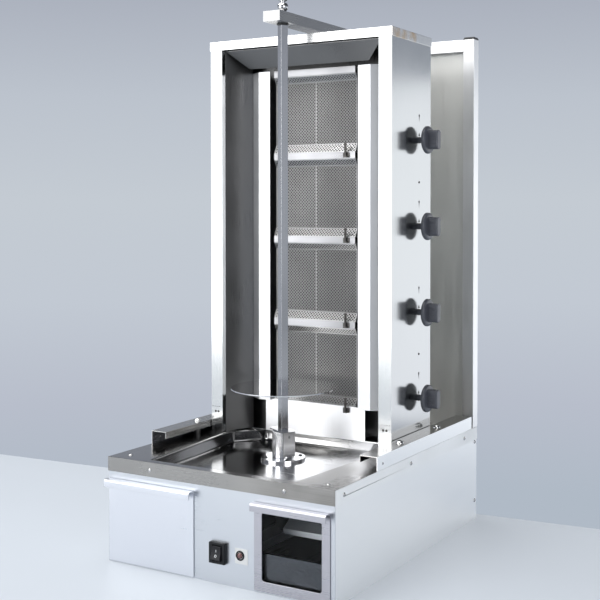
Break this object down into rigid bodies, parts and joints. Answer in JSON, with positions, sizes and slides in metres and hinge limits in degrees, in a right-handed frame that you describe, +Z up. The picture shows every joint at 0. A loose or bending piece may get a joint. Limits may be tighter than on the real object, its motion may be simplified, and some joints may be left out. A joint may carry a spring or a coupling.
{
  "type": "vertical gas broiler",
  "caption": "Upright gas broiler with a turning square spindle and disc over a drip pan, a sliding cabinet of stacked burners, side knobs and front drawers.",
  "frame": {"origin": "centre of the base's underside, on the counter, midway between the base's sides and between its front and rear skirts", "axes": "+X to the operator's right (the knobs' side), +Y to the back, +Z up along the spindle"},
  "size_m": [0.508, 0.6563, 1.0953],
  "materials": {
    "black_plastic": "matt black moulding",
    "bolt_steel": "bright domed steel",
    "box_steel": "plain stainless sheet",
    "bracket_steel": "zinc plated, dull",
    "bright_steel": "polished stainless steel",
    "bushing_plastic": "matt black bearing plastic",
    "cabinet_steel": "brushed stainless steel, satin",
    "cast_housing": "cast, dull",
    "cover_steel": "polished stainless steel",
    "disc_mirror": "polished stainless disc",
    "drawer_steel": "brushed stainless steel, fine grain",
    "frame_steel": "brushed stainless tube",
    "front_steel": "brushed stainless steel, satin",
    "guard_steel": "perforated stainless sheet",
    "knob_black": "black phenolic moulding",
    "lamp_red": "red lens in a dark bezel",
    "liner_steel": "stainless sheet dulled by heat",
    "motor_paint": "dark grey paint",
    "pan_steel": "stainless steel, bright in the dish",
    "panel_steel": "brushed stainless sheet",
    "pipe_brass": "drawn, dull",
    "probe_steel": "steel darkened by heat",
    "rail_steel": "brushed stainless steel",
    "rocker_black": "glossy black rocker",
    "screw_steel": "bright domed steel",
    "side_steel": "brushed stainless steel, satin",
    "spacer_steel": "turned, dull",
    "spindle_steel": "brushed square bar",
    "strap_steel": "bent stainless strip",
    "switch_black": "glossy black moulding",
    "tile_ceramic": "porous pale ceramic, fully rough",
    "turned_steel": "turned and polished stainless steel",
    "valve_brass": "cast and turned",
    "window_glass": "clear pane"
  },
  "bodies": {
    "base": {"base_shell": "side_steel", "front_panel": "front_steel", "back_panel": "side_steel", "deck_pan": "pan_steel", "deck_screws": "screw_steel", "guide_rails": "rail_steel", "rail_spacers": "spacer_steel", "dome_bolts": "bolt_steel", "rear_posts": "frame_steel", "top_tube": "frame_steel", "rear_panel": "panel_steel", "post_caps": "black_plastic", "top_arm": "frame_steel", "arm_bushing": "bushing_plastic", "motor_bracket": "bracket_steel", "gearbox": "cast_housing", "motor": "motor_paint", "bearing_flange": "turned_steel", "drip_chute": "box_steel", "drawer_runners": "bracket_steel", "switch_housing": "switch_black", "indicator_lamp": "lamp_red", "cable_gland": "black_plastic"},
    "rotor": {"drive_shaft": "turned_steel", "drive_cup": "turned_steel", "cup_strap": "strap_steel", "spindle": "spindle_steel", "meat_disc": "disc_mirror"},
    "top_pin": {"top_pin": "turned_steel"},
    "left_drawer": {"left_drawer_front": "drawer_steel", "left_drawer_box": "box_steel"},
    "right_drawer": {"right_drawer_front": "drawer_steel", "right_drawer_box": "box_steel", "drawer_window": "window_glass"},
    "rocker": {"rocker": "rocker_black"},
    "cabinet": {"cabinet_base": "cabinet_steel", "cabinet_left": "cabinet_steel", "cabinet_right": "cabinet_steel", "cabinet_back": "cabinet_steel", "cabinet_top": "cover_steel", "bay_liner": "liner_steel", "lower_panel": "bright_steel", "heat_shields": "bright_steel", "burner_boxes": "box_steel", "burner_tiles": "tile_ceramic", "burner_guards": "guard_steel", "burner_shelves": "bright_steel", "gas_manifold": "pipe_brass", "gas_valves": "valve_brass", "feed_tubes": "pipe_brass", "thermocouples": "probe_steel", "cabinet_screws": "screw_steel"},
    "plunger_1": {"plunger_1": "probe_steel"},
    "knob_1": {"knob_1": "knob_black"},
    "plunger_2": {"plunger_2": "probe_steel"},
    "knob_2": {"knob_2": "knob_black"},
    "plunger_3": {"plunger_3": "probe_steel"},
    "knob_3": {"knob_3": "knob_black"},
    "plunger_4": {"plunger_4": "probe_steel"},
    "knob_4": {"knob_4": "knob_black"}
  },
  "joints": [
    {"name": "spindle_turn", "type": "hinge", "parent": "base", "child": "rotor", "pos_m": [0, -0.081, 0.178], "axis": [0, 0, 1], "continuous": true},
    {"name": "cabinet_slide", "type": "slide", "parent": "base", "child": "cabinet", "axis": [0, 1, 0], "range_m": [-0.02, 0.1]},
    {"name": "left_drawer_slide", "type": "slide", "parent": "base", "child": "left_drawer", "axis": [0, -1, 0], "range_m": [0, 0.3]},
    {"name": "right_drawer_slide", "type": "slide", "parent": "base", "child": "right_drawer", "axis": [0, -1, 0], "range_m": [0, 0.28]},
    {"name": "top_pin_lift", "type": "slide", "parent": "base", "child": "top_pin", "axis": [0, 0, 1], "range_m": [0, 0.024]},
    {"name": "rocker_tilt", "type": "hinge", "parent": "base", "child": "rocker", "pos_m": [0.0096, -0.3155, 0.057], "axis": [1, 0, 0], "range_deg": [0, 20]},
    {"name": "knob_1_push", "type": "slide", "parent": "cabinet", "child": "plunger_1", "axis": [-1, 0, 0], "range_m": [0, 0.003], "stiffness_N_per_m": 900},
    {"name": "knob_1_turn", "type": "hinge", "parent": "plunger_1", "child": "knob_1", "pos_m": [0.228, 0.0945, 0.80925], "axis": [1, 0, 0], "range_deg": [0, 180]},
    {"name": "knob_2_push", "type": "slide", "parent": "cabinet", "child": "plunger_2", "axis": [-1, 0, 0], "range_m": [0, 0.003], "stiffness_N_per_m": 900},
    {"name": "knob_2_turn", "type": "hinge", "parent": "plunger_2", "child": "knob_2", "pos_m": [0.228, 0.0945, 0.63675], "axis": [1, 0, 0], "range_deg": [0, 180]},
    {"name": "knob_3_push", "type": "slide", "parent": "cabinet", "child": "plunger_3", "axis": [-1, 0, 0], "range_m": [0, 0.003], "stiffness_N_per_m": 900},
    {"name": "knob_3_turn", "type": "hinge", "parent": "plunger_3", "child": "knob_3", "pos_m": [0.228, 0.0945, 0.46425], "axis": [1, 0, 0], "range_deg": [0, 180]},
    {"name": "knob_4_push", "type": "slide", "parent": "cabinet", "child": "plunger_4", "axis": [-1, 0, 0], "range_m": [0, 0.003], "stiffness_N_per_m": 900},
    {"name": "knob_4_turn", "type": "hinge", "parent": "plunger_4", "child": "knob_4", "pos_m": [0.228, 0.0945, 0.29175], "axis": [1, 0, 0], "range_deg": [0, 180]}
  ]
}
